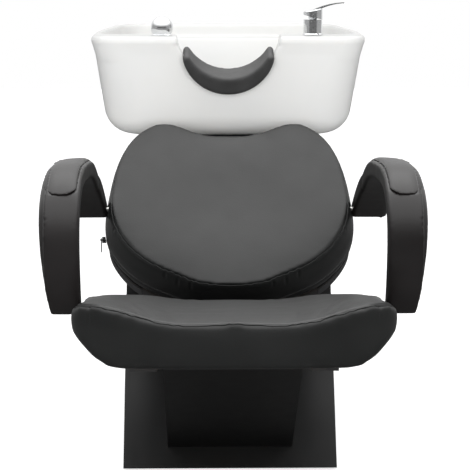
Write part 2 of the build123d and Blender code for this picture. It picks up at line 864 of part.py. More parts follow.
CRADLE_BOLTS = ((134.0, 330.0), (-134.0, 330.0), (112.0, 524.0), (-112.0, 524.0))
CRADLE_BOLT = 4.0
SUMP_RADIUS = 42.0
SUMP_LOW = 575.0
FLANGE_RADIUS = 37.5
FLANGE_TOP = BOWL_FLOOR
FLANGE_SEAT = BOWL_FLOOR - 3
TAIL_RADIUS = 28.0
SHANK = 14.0
HOLDER_SHANK = 13.0
NECK_WALL = 12.0


BELLY_RADIUS = 54.0           # rounding between the walls and the bottom
FLARE_DROP = 34.0             # how far under the rim the walls begin to flare out
FLARE_ROOT = 1.5              # how deep inside the wall the flare starts
SCOOP_HALF = 101.0            # the flare is left out around the neck notch


def rim_flare():
    """Gentle outward turn of the walls into the rim."""
    drop = FLARE_DROP - (RIM_LOW - WALL_TOP)
    side, front = LIP + FLARE_ROOT + SIDE_SLOPE * drop, LIP + FLARE_ROOT + FRONT_SLOPE * drop
    low = basin_outline(side, front, side, 5)
    flare = lofted(low, RIM_LOW - FLARE_DROP, basin_outline(1, 1, 1), RIM_LOW)
    return flare - block((-SCOOP_HALF, SCOOP_HALF), (0, 250), (600, RIM_LOW))


def basin():
    """Double-walled glazed basin, open underneath around the bowl."""
    rim = Pos(0, 0, RIM_LOW) * extrude(basin_outline(0, 0, 0), RIM_TOP - RIM_LOW)
    rim = fillet(rim.faces().sort_by(Axis.Z)[-1].edges(), 4)
    body = basin_body(0, BASIN_LOW, RIM_LOW + 2, BELLY_RADIUS) + rim + rim_flare()
    void = basin_body(CERAMIC, BASIN_LOW + CERAMIC, RIM_LOW - 2, BELLY_RADIUS - CERAMIC)
    opening = RectangleRounded(250, 240, 40)
    void += Pos(0, 385, BASIN_LOW - 2) * extrude(opening, CERAMIC + 30)
    void &= block((-300, 300), (0, 700), (BASIN_LOW - 2, RIM_LOW))
    void -= bowl(11, BOWL_FLOOR - 12)
    void -= throat(8, -30, 120)
    ledge = lofted(basin_outline(26, 95, 26), LEDGE_Z - 11, basin_outline(4, 74, 4), RIM_TOP)
    void -= ledge
    for x, y in CRADLE_BOLTS:
        void -= rod(13, (x, y, BASIN_LOW - 3), (x, y, BASIN_LOW + 40))
    void -= rod(SUMP_RADIUS, (0, DRAIN_Y, SUMP_LOW), (0, DRAIN_Y, BOWL_FLOOR))
    shell = body - void
    shell += rod(SUMP_RADIUS, (0, DRAIN_Y, SUMP_LOW), (0, DRAIN_Y, BOWL_FLOOR - 5))
    recess = lofted(basin_outline(21, 89, 21), LEDGE_Z, basin_outline(14, 85, 14), RIM_TOP + 1)
    shell -= recess
    shell -= bowl(0, BOWL_FLOOR)
    shell -= throat(0, NECK_WALL, 110)
    shell -= notch()
    shell -= rod(FLANGE_RADIUS + 0.5, (0, DRAIN_Y, FLANGE_SEAT), (0, DRAIN_Y, BOWL_FLOOR + 20))
    shell -= rod(TAIL_RADIUS + 1, (0, DRAIN_Y, SUMP_LOW - 5), (0, DRAIN_Y, BOWL_FLOOR))
    for x, y in CRADLE_BOLTS:
        shell -= rod(CRADLE_BOLT, (x, y, BASIN_LOW - 1), (x, y, BASIN_LOW + 14))
    shell -= rod(SHANK + 0.5, (MIXER_X, TAP_Y, RIM_LOW - 5), (MIXER_X, TAP_Y, RIM_TOP + 1))
    shell -= rod(HOLDER_SHANK + 0.5, (HOLDER_X, TAP_Y, RIM_LOW - 5), (HOLDER_X, TAP_Y, RIM_TOP + 1))
    return shell


def neck_rest():
    """Rubber crescent that saddles the edge of the neck notch."""
    half, tip, outer_low, inner_low = 84.0, -17.0, -91.0, -58.0
    tip_width = 12.0
    outer = ThreePointArc((-half, tip - 6), (0, outer_low), (half, tip - 6))
    inner = ThreePointArc((half - tip_width, tip), (0, inner_low), (-half + tip_width, tip))
    right = ThreePointArc((half, tip - 6), (half - 3.5, tip + 1), (half - tip_width, tip))
    left = mirror(right, Plane.YZ)
    crescent = make_face(Curve() + [outer, right, inner, left])
    front, rear = 27.0, -32.0
    body = Pos(0, 0, rear) * extrude(crescent, front - rear)
    body = fillet(body.faces().sort_by(Axis.Z)[-1].edges(), 6)
    gap = 0.4
    channel = block((-150, 150), (-140, 60), (-NECK_WALL - gap, gap))
    channel -= rod(NOTCH_RADIUS - gap, (0, NOTCH_CENTRE, -60), (0, NOTCH_CENTRE, 60))
    return front_wall_plane() * (body - channel)


# ---- drain -----------------------------------------------------------------------------------------

def drain_flange():
    ledge, low = 594.0, 548.0
    return turned(
        [
            (22, low),
            (TAIL_RADIUS, low),
            (TAIL_RADIUS, FLANGE_SEAT),
            (FLANGE_RADIUS, FLANGE_SEAT),
            (FLANGE_RADIUS, FLANGE_TOP - 1),
            (FLANGE_RADIUS - 2, FLANGE_TOP),
            (25, FLANGE_TOP),
            (25, ledge),
            (22, ledge),
        ],
        (0, DRAIN_Y),
    )


def drain_strainer():
    """Perforated hair catcher with a knob to lift it by."""
    low, top = 594.0, 597.0
    strainer = turned(
        [(0, low), (24.8, low), (24.8, top + 2), (23, top + 2), (23, top), (4, top)]
        + [(3, 604), (5, 608), (4, 611), (0, 611)],
        (0, DRAIN_Y),
    )
    for ring, count in ((18.5, 16), (12.5, 10)):
        for step in range(count):
            turn = 2 * math.pi * step / count
            x, y = ring * math.cos(turn), DRAIN_Y + ring * math.sin(turn)
            strainer -= rod(2, (x, y, low - 1), (x, y, top + 1))
    return strainer


def drain_gasket():
    return turned([(TAIL_RADIUS, 570), (40, 570), (40, SUMP_LOW), (TAIL_RADIUS, SUMP_LOW)], (0, DRAIN_Y))


def drain_nut():
    """Round backing nut with six wrench lugs."""
    low, top, radius = 556.0, 570.0, 36.0
    nut = rod(radius, (0, DRAIN_Y, low), (0, DRAIN_Y, top))
    for step in range(6):
        turn = math.radians(60 * step)
        place = Pos(radius * math.cos(turn), DRAIN_Y + radius * math.sin(turn), (low + top) / 2)
        nut += place * Rot(0, 0, 60 * step) * Box(8, 8, top - low)
    return nut - rod(TAIL_RADIUS, (0, DRAIN_Y, low - 1), (0, DRAIN_Y, top + 1))


def drain_tailpiece():
    return turned(
        [
            (17.5, 470),
            (20, 470),
            (20, 536),
            (33, 536),
            (33, 554),
            (TAIL_RADIUS, 554),
            (TAIL_RADIUS, 546),
            (17.5, 546),
        ],
        (0, DRAIN_Y),
    )


def waste_hose():
    """Flexible waste with a water-holding loop, from the tailpiece to the outlet in the floor plate."""
    out_x, out_y = WASTE_OUTLET
    points = [
        (0, DRAIN_Y, 500),
        (0, DRAIN_Y, 440),
        (45, 440, 375),
        (45, 440, 110),
        (-45, 440, 110),
        (-45, 440, 220),
        (out_x, out_y, 220),
        (out_x, out_y, 45),
    ]
    wall, bend = 2.5, 38.0
    outer = hose(points, WASTE_PIPE + wall, bend)
    return outer - hose(points, WASTE_PIPE, bend)


def waste_outlet_pipe():
    x, y = WASTE_OUTLET
    pipe = turned(
        [
            (17.5, 10),
            (WASTE_PIPE, 10),
            (WASTE_PIPE, PLATE_TOP),
            (30, PLATE_TOP),
            (30, PLATE_TOP + 4),
            (WASTE_PIPE, PLATE_TOP + 4),
            (WASTE_PIPE, 72),
            (17.5, 72),
        ],
        (x, y),
    )
    return pipe


# ---- cradle and tilt ---------------------------------------------------------------------------------

CRADLE_HALF = 150.0
CRADLE_SPAN = (250.0, 560.0)
CRADLE_OPENING_HALF = 118.0
CRADLE_OPENING = (280.0, 470.0)
YOKE_EAR = (62.0, 68.0)
CRADLE_EAR = (70.0, 76.0)


def frame_shape(half, span, opening_half, opening):
    """Flat plate with one rounded window."""
    plate = Pos(0, sum(span) / 2) * RectangleRounded(2 * half, span[1] - span[0], 25)
    window = RectangleRounded(2 * opening_half, opening[1] - opening[0], 30)
    return plate - Pos(0, sum(opening) / 2) * window


def ear(x_span, low_z, high_z, radius):
    """Upright lug with a round end about the tilt axis, reaching from LOW_Z to HIGH_Z."""
    lug = block(x_span, (PIVOT_Y - radius, PIVOT_Y + radius), (low_z, high_z))
    barrel = rod(radius, (x_span[0], PIVOT_Y, PIVOT_Z), (x_span[1], PIVOT_Y, PIVOT_Z))
    return lug + barrel


def basin_cradle():
    plate = frame_shape(CRADLE_HALF, CRADLE_SPAN, CRADLE_OPENING_HALF, CRADLE_OPENING)
    cradle = Pos(0, 0, CRADLE_LOW) * extrude(plate, CRADLE_TOP - CRADLE_LOW)
    for side in (-1, 1):
        span = sorted(side * edge for edge in CRADLE_EAR)
        lug = ear(span, PIVOT_Z, CRADLE_LOW, 17)
        lug -= rod(BUSH_RADIUS, (span[0] - 1, PIVOT_Y, PIVOT_Z), (span[1] + 1, PIVOT_Y, PIVOT_Z))
        cradle += lug
    for x, y in CRADLE_BOLTS:
        cradle -= rod(CRADLE_BOLT, (x, y, CRADLE_LOW - 1), (x, y, CRADLE_TOP + 1))
    return cradle


def cradle_pad():
    pad = frame_shape(CRADLE_HALF - 4, (254.0, 538.0), CRADLE_OPENING_HALF + 2, (284.0, 466.0))
    pad = Pos(0, 0, CRADLE_TOP) * extrude(pad, BASIN_LOW - CRADLE_TOP)
    for x, y in CRADLE_BOLTS:
        pad -= rod(CRADLE_BOLT, (x, y, CRADLE_TOP - 1), (x, y, BASIN_LOW + 1))
    return pad


def cradle_bolts():
    return through_bolts(Plane.XY, CRADLE_BOLTS, CRADLE_BOLT, CRADLE_LOW, BASIN_LOW + 12, 5)


YOKE_BASE = CROSS_TOP + 6.0


def yoke_bolt_places():
    return [(x, POST_Y + row) for x in (-40.0, 40.0) for row in (-18.0, 18.0)]


def tilt_yoke():
    yoke = block((-90, 90), (POST_Y - 28, POST_Y + 28), (CROSS_TOP, YOKE_BASE))
    for side in (-1, 1):
        span = sorted(side * edge for edge in YOKE_EAR)
        yoke += ear(span, YOKE_BASE, PIVOT_Z, 15.5)
    yoke -= rod(AXLE_RADIUS, (-120, PIVOT_Y, PIVOT_Z), (120, PIVOT_Y, PIVOT_Z))
    for x, y in yoke_bolt_places():
        yoke -= rod(YOKE_BOLT, (x, y, CROSS_TOP - 1), (x, y, YOKE_BASE + 1))
    return yoke


def yoke_bolts():
    bolts = []
    for x, y in yoke_bolt_places():
        bolt = rod(YOKE_BOLT, (x, y, POST_TOP - 6), (x, y, YOKE_BASE))
        bolt += hexagon(7.5, (x, y, YOKE_BASE), 5)
        bolts.append(bolt)
    return group(*bolts)


def tilt_axle():
    """Shaft fixed in the yoke, with a collar on each end."""
    left, right = -82.0, 94.0
    axle = rod(AXLE_RADIUS, (left, PIVOT_Y, PIVOT_Z), (right, PIVOT_Y, PIVOT_Z))
    axle += rod(12, (left - 4, PIVOT_Y, PIVOT_Z), (left, PIVOT_Y, PIVOT_Z))
    return axle + rod(12, (right, PIVOT_Y, PIVOT_Z), (right + 4, PIVOT_Y, PIVOT_Z))


def tilt_bush(side):
    near, far = sorted(side * edge for edge in CRADLE_EAR)
    bush = rod(BUSH_RADIUS, (near, PIVOT_Y, PIVOT_Z), (far, PIVOT_Y, PIVOT_Z))
    outside = side * CRADLE_EAR[1]
    bush += rod(14, (outside, PIVOT_Y, PIVOT_Z), (outside + side * 2, PIVOT_Y, PIVOT_Z))
    return bush - rod(AXLE_RADIUS + RUNNING_GAP, (-120, PIVOT_Y, PIVOT_Z), (120, PIVOT_Y, PIVOT_Z))


def tilt_bushes():
    return group(tilt_bush(-1), tilt_bush(1))


LOCK_DROP = 8.0
LOCK_HUB = (80.0, 92.0)


def lock_lever_shape(radius_from, radius_to, width):
    """Straight stretch of the lock lever, measured from the tilt axis."""
    arm = block((LOCK_HUB[0] + 2, LOCK_HUB[1] - 2), (radius_from, radius_to), (-width / 2, width / 2))
    return Pos(0, PIVOT_Y, PIVOT_Z) * Rot(-LOCK_DROP, 0, 0) * arm


def tilt_lock_lever():
    """Clamp lever on the right end of the axle, reached from behind the basin."""
    hub = rod(14, (LOCK_HUB[0], PIVOT_Y, PIVOT_Z), (LOCK_HUB[1], PIVOT_Y, PIVOT_Z))
    lever = hub + lock_lever_shape(10, 68, 10)
    return lever - rod(AXLE_RADIUS + RUNNING_GAP, (0, PIVOT_Y, PIVOT_Z), (120, PIVOT_Y, PIVOT_Z))


def tilt_lock_knob():
    knob = Pos((LOCK_HUB[0] + LOCK_HUB[1]) / 2, 74, 0) * Sphere(8)
    knob = Pos(0, PIVOT_Y, PIVOT_Z) * Rot(-LOCK_DROP, 0, 0) * knob
    return knob - lock_lever_shape(0, 68, 10)


# ---- mixer and shower --------------------------------------------------------------------------------

MIXER_RADIUS = 17.5
MIXER_TOP = 780.0
BALL_Z = 790.0
BALL_RADIUS = 8.5
SHANK_END = 716.0


def mixer_body():
    return turned(
        [
            (0, SHANK_END),
            (SHANK, SHANK_END),
            (SHANK, RIM_TOP),
            (MIXER_RADIUS + 1.5, RIM_TOP),
            (MIXER_RADIUS + 1.5, RIM_TOP + 2),
            (MIXER_RADIUS, RIM_TOP + 3.5),
            (MIXER_RADIUS, MIXER_TOP),
            (0, MIXER_TOP),
        ],
        (MIXER_X, TAP_Y),
    )


def mixer_turret():
    """Turning head of the mixer with the ball the lever rocks on."""
    turret = rod(MIXER_RADIUS, (MIXER_X, TAP_Y, MIXER_TOP), (MIXER_X, TAP_Y, MIXER_TOP + 5))
    ball = Pos(MIXER_X, TAP_Y, BALL_Z) * Sphere(BALL_RADIUS)
    ball &= block((MIXER_X - 30, MIXER_X + 30), (TAP_Y - 30, TAP_Y + 30), (MIXER_TOP + 5, BALL_Z + 30))
    pin = LEVER_PIN + RUNNING_GAP
    return turret + ball - rod(pin, (MIXER_X, TAP_Y - 30, BALL_Z), (MIXER_X, TAP_Y + 30, BALL_Z))


LEVER_PIN = 2.0
HOOD_RADIUS = 18.0
HOOD_GAP = 0.4
HOOD_CUT = 14.0               # slant of the hood's lower edge, in degrees


def mixer_lever():
    """Cap over the ball, cut on the slant above and below, with a thin blade handle."""
    centre = Pos(MIXER_X, TAP_Y, BALL_Z)
    profile = Polyline((-30, -20), (30, -20), (30, 18.6), (-30, 7.4), close=True)
    block_side = extrude(Plane.XZ * make_face(profile), 40, both=True)
    hood_tube = Cylinder(HOOD_RADIUS, 60, align=(Align.CENTER, Align.CENTER, Align.MIN))
    hood = Pos(0, 0, -20) * hood_tube & block_side
    hood = fillet(hood.faces().sort_by(Axis.Z)[-1].edges(), 2.5)
    hood -= Rot(0, HOOD_CUT, 0) * (Pos(0, 0, -20.5) * Box(80, 80, 40))
    top = ThreePointArc((0, 13), (25, 22), (57.6, 26.6))
    low = ThreePointArc((57.8, 25), (27, 19.5), (8, 11.5))
    blade_side = make_face(Curve() + [top, Line((57.6, 26.6), (57.8, 25)), low, Line((8, 11.5), (0, 13))])
    blade = Pos(0, 7, 0) * extrude(Plane.XZ * blade_side, 14, dir=(0, -1, 0))
    lever = hood + blade - Sphere(BALL_RADIUS + HOOD_GAP)
    lever -= rod(HOOD_GAP + 6.9, (0, 0, -20), (0, 0, 0))
    return centre * (lever - rod(LEVER_PIN, (0, -30, 0), (0, 30, 0)))


def lever_pin():
    reach = 17.0
    return rod(LEVER_PIN, (MIXER_X, TAP_Y - reach, BALL_Z), (MIXER_X, TAP_Y + reach, BALL_Z))


def deck_nut(x, radius):
    low = WALL_TOP - 12
    nut = hexagon(radius + 6, (x, TAP_Y, low), WALL_TOP - low)
    return nut - rod(radius, (x, TAP_Y, low - 1), (x, TAP_Y, WALL_TOP + 1))


HEAD_Z = 770.0
HEAD_RADIUS = 20.8
HANDLE_RADIUS = 10.5
HANDLE_END = 670.0


HOLDER_TOP = RIM_TOP + 2.0
HEAD_LOW = HOLDER_TOP + 0.3   # the head stands this high in its holder
FACE_Y = 8.0                  # the spray face stands this far behind the head's centre


def shower_holder():
    """Deck flange with a long guide for the handle of the hand shower."""
    return turned(
        [
            (HANDLE_RADIUS + 0.6, 712),
            (HOLDER_SHANK, 712),
            (HOLDER_SHANK, RIM_TOP),
            (19.5, RIM_TOP),
            (19.5, HOLDER_TOP - 1),
            (18.5, HOLDER_TOP),
            (HANDLE_RADIUS + 0.6, HOLDER_TOP),
        ],
        (HOLDER_X, TAP_Y),
    )


def above_holder(rear):
    """Room for the shower's head over its holder, up to REAR behind the head's centre."""
    return block((HOLDER_X - 30, HOLDER_X + 30), (TAP_Y - 30, TAP_Y + rear), (HEAD_LOW, HEAD_Z + 30))


def shower_handset():
    """Round head with its spray face toward the bowl, on a straight handle."""
    head = Pos(HOLDER_X, TAP_Y, HEAD_Z) * Sphere(HEAD_RADIUS) & above_holder(FACE_Y)
    return head + rod(HANDLE_RADIUS, (HOLDER_X, TAP_Y, HANDLE_END), (HOLDER_X, TAP_Y, HEAD_LOW))


def shower_spray_face():
    """Perforated disc on the flat of the shower head."""
    radius = math.sqrt(HEAD_RADIUS**2 - FACE_Y**2) - 1.5
    disc = rod(radius, (HOLDER_X, TAP_Y + FACE_Y, HEAD_Z), (HOLDER_X, TAP_Y + FACE_Y + 2.5, HEAD_Z))
    disc &= above_holder(30)
    for ring, count in ((12.0, 14), (6.5, 8)):
        for step in range(count):
            turn = 2 * math.pi * step / count
            x, z = HOLDER_X + ring * math.cos(turn), HEAD_Z + ring * math.sin(turn)
            if z > HEAD_LOW + 2:
                disc -= rod(0.8, (x, TAP_Y + FACE_Y + 1, z), (x, TAP_Y + FACE_Y + 4, z))
    return disc


HOSE_RADIUS = 5.5
NUT_FOOT, NUT_HEAD = 55.0, 76.0
HOT_X = 0.0
COLD_X = 40.0
SUPPLY_Y = 480.0
SUPPLY_THREAD = 10.3


def hot_supply_hose():
    points = [
        (MIXER_X, TAP_Y + 8, SHANK_END),
        (MIXER_X, TAP_Y + 8, 692),
        (158, 236, 634),
        (88, 296, 588),
        (82, 326, 555),
        (84, 350, 500),
        (84, 352, 420),
        (84, SUPPLY_Y, 300),
        (HOT_X, SUPPLY_Y, 200),
        (HOT_X, SUPPLY_Y, NUT_HEAD),
    ]
    return hose(points, HOSE_RADIUS, 14)


def cold_supply_hose():
    points = [
        (MIXER_X + 8, TAP_Y - 4, SHANK_END),
        (MIXER_X + 8, TAP_Y - 4, 692),
        (178, 236, 636),
        (108, 296, 592),
        (101, 326, 556),
        (104, 350, 500),
        (104, 352, 420),
        (104, SUPPLY_Y, 300),
        (COLD_X, SUPPLY_Y, 200),
        (COLD_X, SUPPLY_Y, NUT_HEAD),
    ]
    return hose(points, HOSE_RADIUS, 14)


def supply_nuts():
    nuts = []
    for x in (HOT_X, COLD_X):
        nut = hexagon(15, (x, SUPPLY_Y, NUT_FOOT), NUT_HEAD - NUT_FOOT)
        nuts.append(nut - rod(SUPPLY_THREAD, (x, SUPPLY_Y, NUT_FOOT - 1), (x, SUPPLY_Y, NUT_FOOT + 15)))
    return group(*nuts)


def shower_hose():
    points = [
        (HOLDER_X, TAP_Y, HANDLE_END),
        (HOLDER_X, TAP_Y, 654),
        (-124, 230, 612),
        (-98, 298, 586),
        (-94, 326, 552),
        (-94, 348, 500),
        (-94, 348, 236),
        (62, 348, 236),
        (62, 348, 500),
        (62, 326, 552),
        (66, 296, 588),
        (138, 222, 632),
        (MIXER_X - 8, TAP_Y - 4, 692),
        (MIXER_X - 8, TAP_Y - 4, SHANK_END),
    ]
    return hose(points, HOSE_RADIUS, 12)


# ---- zip on the backrest cover -------------------------------------------------------------------------

ZIP_UP, ZIP_OUT = 160.0, 20.0
ZIP_PIN = 1.2


def zip_point():
    point = back_plane().from_local_coords((0, ZIP_UP, ZIP_OUT))
    return point.Y, point.Z


def zip_slider():
    """Slider at the left end of the cover's zip, with the pin its pull hangs from."""
    y, z = zip_point()
    slider = back_plane() * block((-226.5, -218), (ZIP_UP - 4, ZIP_UP + 4), (ZIP_OUT - 4, ZIP_OUT + 4))
    slider += rod(ZIP_PIN, (-226.5, y, z), (-229.0, y, z))
    slider += rod(2.2, (-229.0, y, z), (-229.8, y, z))
    return slider - backrest_cushion()


def zip_pull():
    y, z = zip_point()
    pull = block((-228.7, -227.2), (y - 3, y + 3), (z - 22, z))
    pull += rod(3, (-228.7, y, z), (-227.2, y, z))
    pull -= rod(ZIP_PIN + RUNNING_GAP, (-231, y, z), (-220, y, z))
    return pull


# ---- write every piece -----------------------------------------------------------------------------------

def main():
    save(base_frame(), "base_frame")
    save(side_panel(), "right_side_panel")
    save(mirrored(side_panel()), "left_side_panel")
    save(front_panel(), "front_panel")
    save(top_panel(), "top_panel")
    save(rear_access_panel(), "rear_access_panel")
    save(access_panel_screws(), "access_panel_screws")
    save(seat_column_cover(), "seat_column_cover")
    foot_names = ("front_left", "rear_left", "front_right", "rear_right")
    for name, (x, y) in zip(foot_names, foot_places()):
        save(levelling_foot(x, y), f"levelling_foot_{name}")
    save(foot_lock_nuts(), "foot_lock_nuts")

    save(both_sides(seat_back_bar()), "seat_back_bars")
    save(seat_frame_bolts(), "seat_frame_bolts")
    save(seat_board(), "seat_board")
    save(backrest_board(), "backrest_board")
    save(group(seat_board_bolts(), board_bolts_back()), "board_bolts")
    save(backrest_rear_cover(), "backrest_rear_cover")
    save(zip_slider(), "zip_slider")
    save(zip_pull(), "zip_pull")

    bolts = arm_bolts_right()
    right_pad = arm_pad()
    right_arm = arm_band() - right_pad - bolts
    right_front = front_bracket() - bolts - seat_board_bolts()
    right_rear = rear_strap() - bolts - board_bolts_back()
    inner_metal = both_sides(group(right_front, right_rear, bolts))
    save(seat_cushion() - inner_metal, "seat_cushion")
    save(backrest_cushion() - inner_metal, "backrest_cushion")
    save(right_arm, "right_armrest")
    save(mirrored(right_arm), "left_armrest")
    save(right_pad, "right_armrest_pad")
    save(mirrored(right_pad), "left_armrest_pad")
    save(both_sides(right_front), "armrest_front_brackets")
    save(both_sides(right_rear), "armrest_rear_straps")
    save(both_sides(bolts), "armrest_bolts")

    save(basin(), "basin")
    save(neck_rest(), "neck_rest")
    save(drain_flange(), "drain_flange")
    save(drain_strainer(), "drain_strainer")
    save(drain_gasket(), "drain_gasket")
    save(drain_nut(), "drain_nut")
    save(drain_tailpiece(), "drain_tailpiece")
    save(waste_hose(), "waste_hose")
    save(waste_outlet_pipe(), "waste_outlet_pipe")

    save(basin_cradle(), "basin_cradle")
    save(cradle_pad(), "cradle_pad")
    save(cradle_bolts(), "cradle_bolts")
    save(tilt_yoke(), "tilt_yoke")
    save(yoke_bolts(), "yoke_bolts")
    save(tilt_axle(), "tilt_axle")
    save(tilt_bushes(), "tilt_bushes")
    save(tilt_lock_lever(), "tilt_lock_lever")
    save(tilt_lock_knob(), "tilt_lock_knob")

    save(mixer_body(), "mixer_body")
    save(mixer_turret(), "mixer_turret")
    save(mixer_lever(), "mixer_lever")
    save(lever_pin(), "mixer_lever_pin")
    save(shower_holder(), "shower_holder")
    save(group(deck_nut(MIXER_X, SHANK), deck_nut(HOLDER_X, HOLDER_SHANK)), "deck_nuts")
    save(shower_handset(), "shower_handset")
    save(shower_spray_face(), "shower_spray_face")
    save(hot_supply_hose(), "hot_supply_hose")
    save(cold_supply_hose(), "cold_supply_hose")
    save(supply_nuts(), "supply_nuts")
    save(shower_hose(), "shower_hose")


main()
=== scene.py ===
import json
import math

import bmesh
import bpy
import numpy as np
from mathutils import Euler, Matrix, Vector
from mathutils.bvhtree import BVHTree
from mathutils.kdtree import KDTree


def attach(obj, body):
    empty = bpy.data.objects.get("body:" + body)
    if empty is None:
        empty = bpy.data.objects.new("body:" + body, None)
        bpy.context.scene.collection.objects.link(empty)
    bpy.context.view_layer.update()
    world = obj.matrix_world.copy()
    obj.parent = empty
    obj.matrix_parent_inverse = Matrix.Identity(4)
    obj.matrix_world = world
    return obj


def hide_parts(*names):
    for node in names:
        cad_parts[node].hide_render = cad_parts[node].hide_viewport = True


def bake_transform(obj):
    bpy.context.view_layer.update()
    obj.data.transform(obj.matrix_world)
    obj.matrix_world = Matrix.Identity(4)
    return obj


# Shampoo backwash unit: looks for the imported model. Metres, in the frame of the CAD.
# X runs to the right, Y from the seat's front edge back to the basin, Z up from the floor.

# Angles of the two padded parts, as they stand in the CAD
SEAT_TURN = math.radians(-7.0)
BACK_TURN = math.radians(44.0)

# Camera
EYE = (-0.040, -3.165, 0.938)
LOOK_DOWN = math.radians(9.45)
LOOK_RIGHT = math.radians(0.9)
LENS = 137.7
SENSOR = 36.0

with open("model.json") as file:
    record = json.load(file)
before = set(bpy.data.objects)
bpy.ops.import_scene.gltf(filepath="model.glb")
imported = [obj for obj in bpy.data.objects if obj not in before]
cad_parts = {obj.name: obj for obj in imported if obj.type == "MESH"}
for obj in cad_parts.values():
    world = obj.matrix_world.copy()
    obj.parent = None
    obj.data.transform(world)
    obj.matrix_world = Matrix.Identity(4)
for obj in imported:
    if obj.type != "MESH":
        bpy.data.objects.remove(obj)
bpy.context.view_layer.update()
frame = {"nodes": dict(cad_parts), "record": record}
nodes = frame["nodes"]
scene = bpy.context.scene


# ---- mesh helpers --------------------------------------------------------------------------------

def coordinates(obj):
    """Vertex places of OBJ as an array."""
    co = np.empty(len(obj.data.vertices) * 3, np.float32)
    obj.data.vertices.foreach_get("co", co)
    return co.reshape(-1, 3).astype(float)


def place(obj, co):
    obj.data.vertices.foreach_set("co", co.astype(np.float32).ravel())
    obj.data.update()


def normals(obj):
    out = np.empty(len(obj.data.vertices) * 3, np.float32)
    obj.data.vertices.foreach_get("normal", out)
    return out.reshape(-1, 3).astype(float)


def add_mesh(name, verts, faces):
    mesh = bpy.data.meshes.new(name)
    mesh.from_pydata([tuple(v) for v in verts], [], faces)
    mesh.validate()
    obj = bpy.data.objects.new(name, mesh)
    scene.collection.objects.link(obj)
    smooth_shade(obj)
    return obj


def smooth_shade(obj):
    obj.data.polygons.foreach_set("use_smooth", [True] * len(obj.data.polygons))
    obj.data.update()


def copy_of(node, name):
    """Free copy of a CAD node's mesh, with its vertices welded."""
    obj = bpy.data.objects.new(name, nodes[node].data.copy())
    scene.collection.objects.link(obj)
    obj.data.materials.clear()
    bm = bmesh.new()
    bm.from_mesh(obj.data)
    bmesh.ops.remove_doubles(bm, verts=bm.verts, dist=1e-6)
    bm.to_mesh(obj.data)
    bm.free()
    return obj


def apply_modifiers(obj):
    """Bakes the modifiers of OBJ into its mesh."""
    graph = bpy.context.evaluated_depsgraph_get()
    mesh = bpy.data.meshes.new_from_object(obj.evaluated_get(graph))
    obj.modifiers.clear()
    obj.data = mesh
    smooth_shade(obj)


def remeshed(obj, voxel):
    """Even skin of small faces over OBJ."""
    modifier = obj.modifiers.new("Even", "REMESH")
    modifier.mode = "VOXEL"
    modifier.voxel_size = voxel
    apply_modifiers(obj)
    return obj


def neighbours(obj):
    edges = np.empty(len(obj.data.edges) * 2, np.int32)
    obj.data.edges.foreach_get("vertices", edges)
    return edges.reshape(-1, 2)


def relaxed(obj, rounds, push_back=-0.57):
    """Smooths OBJ. After each round it is pushed back to keep its size, or not at all with 0."""
    co, edges = coordinates(obj), neighbours(obj)
    count = np.bincount(edges.ravel(), minlength=len(co)).astype(float)[:, None]
    for _ in range(rounds):
        for step in (0.55, push_back) if push_back else (0.55,):
            total = np.zeros_like(co)
            np.add.at(total, edges[:, 0], co[edges[:, 1]])
            np.add.at(total, edges[:, 1], co[edges[:, 0]])
            co += step * (total / count - co)
    place(obj, co)
    return obj


def softened(node, name, voxel, rounds, rounding=0):
    """Copy of a moulded CAD piece with its hard edges rounded off, the more the higher ROUNDING."""
    piece = remeshed(copy_of(node, name), voxel)
    relaxed(piece, rounding, 0)
    return relaxed(piece, rounds)


def subdivided(obj, levels=1):
    modifier = obj.modifiers.new("Fine", "SUBSURF")
    modifier.levels = levels
    modifier.render_levels = levels
    apply_modifiers(obj)
    return obj


def turned_in(co, turn):
    """Places CO seen in a frame turned by TURN about X: across, along and out of the pad."""
    c, s = math.cos(turn), math.sin(turn)
    return np.column_stack([co[:, 0], co[:, 1] * c + co[:, 2] * s, -co[:, 1] * s + co[:, 2] * c])


def inflated(obj, pressure, cap, held):
    """Swells a pad by a short cloth simulation. HELD marks the vertices that rest on something."""
    group = obj.vertex_groups.new(name="Held")
    for index in np.flatnonzero(held):
        group.add([int(index)], 1.0, "REPLACE")
    start = coordinates(obj)
    cloth = obj.modifiers.new("Swell", "CLOTH")
    settings = cloth.settings
    settings.quality = 5
    settings.mass = 0.3
    settings.tension_stiffness = 12.0
    settings.compression_stiffness = 12.0
    settings.shear_stiffness = 6.0
    settings.bending_stiffness = 1.5
    settings.use_pressure = True
    settings.uniform_pressure_force = pressure
    settings.vertex_group_mass = "Held"
    settings.effector_weights.gravity = 0.0
    cloth.point_cache.frame_start = 1
    cloth.point_cache.frame_end = 20
    for step in range(1, 21):
        scene.frame_set(step)
    graph = bpy.context.evaluated_depsgraph_get()
    swollen = obj.evaluated_get(graph).to_mesh()
    end = np.empty(len(swollen.vertices) * 3, np.float32)
    swollen.vertices.foreach_get("co", end)
    end = end.reshape(-1, 3).astype(float)
    obj.modifiers.clear()
    scene.frame_set(1)
    moved = end - start
    length = np.linalg.norm(moved, axis=1)[:, None]
    moved *= cap * np.tanh(length / cap) / np.maximum(length, 1e-9)
    place(obj, start + moved)
    return obj


SIDE_LEAN, FACE_LEAN = 0.35, 0.6   # how far a pad's side and its face look out of the pad, at most and least
LEVEL_SLACK = 0.0006
REACH_STEP = 0.0015


